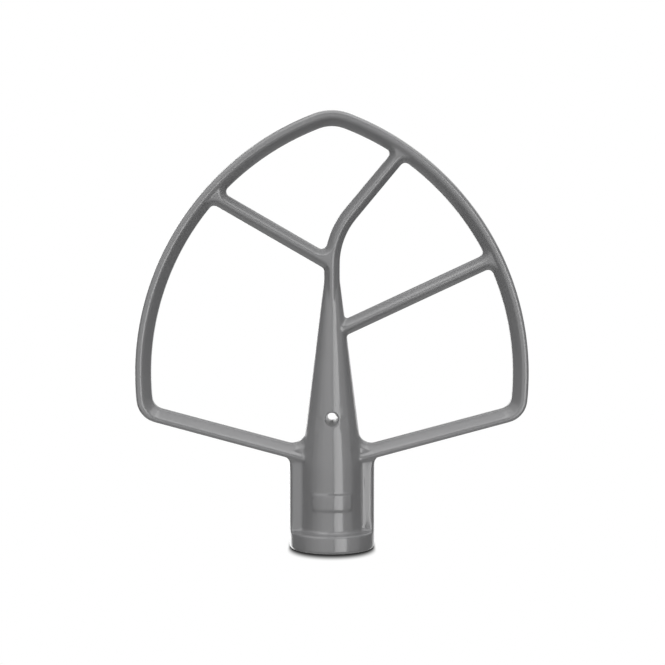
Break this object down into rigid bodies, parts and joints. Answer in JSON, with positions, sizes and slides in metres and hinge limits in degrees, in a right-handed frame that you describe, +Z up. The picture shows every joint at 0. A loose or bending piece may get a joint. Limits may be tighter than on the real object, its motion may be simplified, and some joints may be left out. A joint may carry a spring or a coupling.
{
  "type": "stand mixer flat beater",
  "caption": "Cast flat beater: a pointed ring with two arms and slanting braces on a tapered hub with a blind shaft bore.",
  "frame": {"origin": "centre of the hub's open mouth, on the bore's axis, which is also the centre of the object's base", "axes": "+Z runs up the bore's axis to the tip of the ring, X is across the ring and Y is its depth; the raised pad faces -Y"},
  "size_m": [0.1432, 0.031, 0.1596],
  "materials": {
    "coated_casting": "satin"
  },
  "bodies": {
    "root": {"flat_beater": "coated_casting"}
  },
  "joints": []
}
